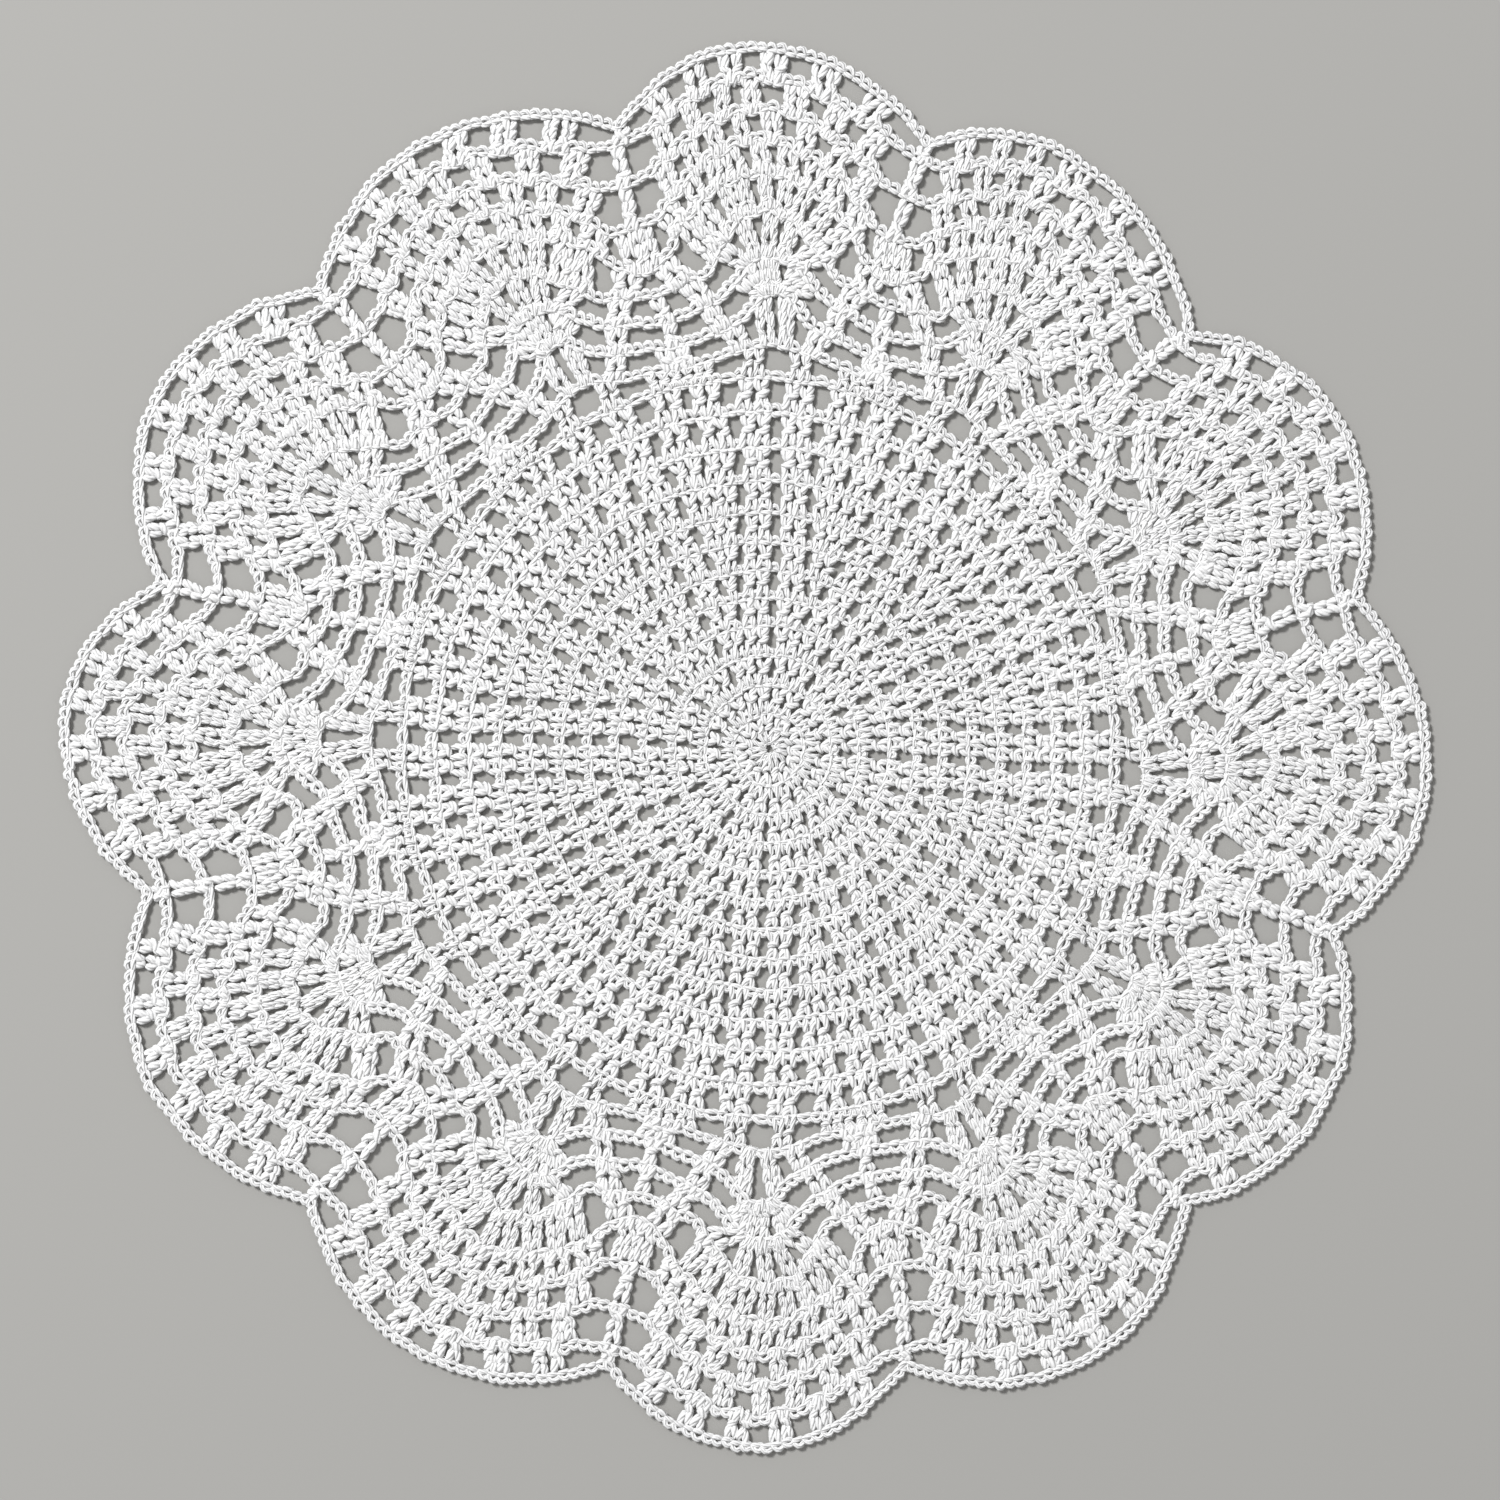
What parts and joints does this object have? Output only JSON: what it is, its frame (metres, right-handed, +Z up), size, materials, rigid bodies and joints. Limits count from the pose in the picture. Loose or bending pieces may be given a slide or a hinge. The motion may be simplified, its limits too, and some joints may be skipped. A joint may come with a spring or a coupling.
{
  "type": "crocheted lace doily",
  "caption": "Round flat table doily in openwork crochet: a filet ground with radiating spokes inside a border of scalloped lace fans.",
  "frame": {"origin": "centre of the doily's box on the surface that it lies on, 6 mm from the middle of its first round", "axes": "+Z up out of the cloth's face, +Y towards the fan that is uppermost when it is seen from above, +X to its right"},
  "size_m": [0.3692, 0.3792, 0.0024],
  "materials": {
    "cotton": "matt white mercerised crochet cotton, plied thread"
  },
  "bodies": {
    "root": {"doily": "cotton"}
  },
  "joints": []
}
